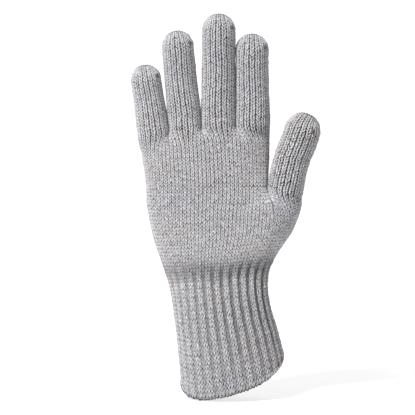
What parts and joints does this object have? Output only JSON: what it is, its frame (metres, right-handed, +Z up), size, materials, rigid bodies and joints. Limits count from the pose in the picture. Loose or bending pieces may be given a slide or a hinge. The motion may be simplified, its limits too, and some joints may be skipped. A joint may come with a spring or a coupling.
{
  "type": "knitted glove",
  "caption": "Right-hand knitted wool glove with plain-knit palm, fingers and thumb, a long ribbed cuff, and knuckles and wrist that bend.",
  "frame": {"origin": "middle of the cuff mouth, where the glove is held on the wrist", "axes": "+Z up along the fingers, +X towards the thumb side, +Y towards the back of the hand"},
  "size_m": [0.1305, 0.0643, 0.268],
  "materials": {
    "plain_knit": "plain stockinette knit of heather grey wool yarn",
    "rib_knit": "ribbed knit of heather grey wool yarn",
    "stitch_yarn": "tight closing stitches of the same wool",
    "elastic_yarn": "thin covered elastic yarn"
  },
  "bodies": {
    "cuff": {"cuff_edge": "rib_knit", "cuff_rib": "rib_knit", "cuff_elastic": "elastic_yarn", "wrist_rib": "rib_knit"},
    "palm": {"lower_palm": "plain_knit", "upper_palm": "plain_knit", "crotch_stitch_little_ring": "stitch_yarn", "crotch_stitch_ring_middle": "stitch_yarn", "crotch_stitch_middle_index": "stitch_yarn", "crotch_stitch_thumb": "stitch_yarn", "little_base_knuckle": "plain_knit", "ring_base_knuckle": "plain_knit", "middle_base_knuckle": "plain_knit", "index_base_knuckle": "plain_knit", "thumb_base_knuckle": "plain_knit"},
    "little_lower": {"little_lower_sleeve": "plain_knit", "little_middle_knuckle": "plain_knit"},
    "little_tip": {"little_tip_sleeve": "plain_knit", "little_tip_closure": "stitch_yarn"},
    "ring_lower": {"ring_lower_sleeve": "plain_knit", "ring_middle_knuckle": "plain_knit"},
    "ring_tip": {"ring_tip_sleeve": "plain_knit", "ring_tip_closure": "stitch_yarn"},
    "middle_lower": {"middle_lower_sleeve": "plain_knit", "middle_middle_knuckle": "plain_knit"},
    "middle_tip": {"middle_tip_sleeve": "plain_knit", "middle_tip_closure": "stitch_yarn"},
    "index_lower": {"index_lower_sleeve": "plain_knit", "index_middle_knuckle": "plain_knit"},
    "index_tip": {"index_tip_sleeve": "plain_knit", "index_tip_closure": "stitch_yarn"},
    "thumb_lower": {"thumb_lower_sleeve": "plain_knit", "thumb_middle_knuckle": "plain_knit"},
    "thumb_tip": {"thumb_tip_sleeve": "plain_knit", "thumb_tip_closure": "stitch_yarn"}
  },
  "joints": [
    {"name": "wrist_bend", "type": "hinge", "parent": "cuff", "child": "palm", "pos_m": [-0.0095, -0.006, 0.0674], "axis": [1, 0, 0], "range_deg": [-40, 45], "deforming": ["wrist_rib"]},
    {"name": "little_base_bend", "type": "hinge", "parent": "palm", "child": "little_lower", "pos_m": [-0.05475, -0.00652, 0.17336], "axis": [0.99, 0, 0.1409], "range_deg": [-10, 65], "deforming": ["little_base_knuckle"]},
    {"name": "little_middle_bend", "type": "hinge", "parent": "little_lower", "child": "little_tip", "pos_m": [-0.05749, -0.00788, 0.19267], "axis": [0.99, 0, 0.1409], "range_deg": [0, 70], "deforming": ["little_middle_knuckle"]},
    {"name": "ring_base_bend", "type": "hinge", "parent": "palm", "child": "ring_lower", "pos_m": [-0.03272, -0.00654, 0.17807], "axis": [0.9956, 0, 0.0941], "range_deg": [-10, 65], "deforming": ["ring_base_knuckle"]},
    {"name": "ring_middle_bend", "type": "hinge", "parent": "ring_lower", "child": "ring_tip", "pos_m": [-0.0351, -0.0083, 0.20317], "axis": [0.9956, 0, 0.0941], "range_deg": [0, 70], "deforming": ["ring_middle_knuckle"]},
    {"name": "middle_base_bend", "type": "hinge", "parent": "palm", "child": "middle_lower", "pos_m": [-0.00945, -0.00656, 0.18118], "axis": [1, 0, 0], "range_deg": [-10, 65], "deforming": ["middle_base_knuckle"]},
    {"name": "middle_middle_bend", "type": "hinge", "parent": "middle_lower", "child": "middle_tip", "pos_m": [-0.00945, -0.00851, 0.20911], "axis": [1, 0, 0], "range_deg": [0, 70], "deforming": ["middle_middle_knuckle"]},
    {"name": "index_base_bend", "type": "hinge", "parent": "palm", "child": "index_lower", "pos_m": [0.0146, -0.00656, 0.18048], "axis": [1, 0, 0], "range_deg": [-10, 65], "deforming": ["index_base_knuckle"]},
    {"name": "index_middle_bend", "type": "hinge", "parent": "index_lower", "child": "index_tip", "pos_m": [0.0146, -0.00823, 0.20442], "axis": [1, 0, 0], "range_deg": [0, 70], "deforming": ["index_middle_knuckle"]},
    {"name": "thumb_base_bend", "type": "hinge", "parent": "palm", "child": "thumb_lower", "pos_m": [0.0383, -0.01585, 0.13267], "axis": [0.8885, -0.342, -0.3059], "range_deg": [-10, 45], "deforming": ["thumb_base_knuckle"]},
    {"name": "thumb_tip_bend", "type": "hinge", "parent": "thumb_lower", "child": "thumb_tip", "pos_m": [0.0451, -0.01905, 0.15601], "axis": [0.8885, -0.342, -0.3059], "range_deg": [0, 60], "deforming": ["thumb_middle_knuckle"]}
  ]
}
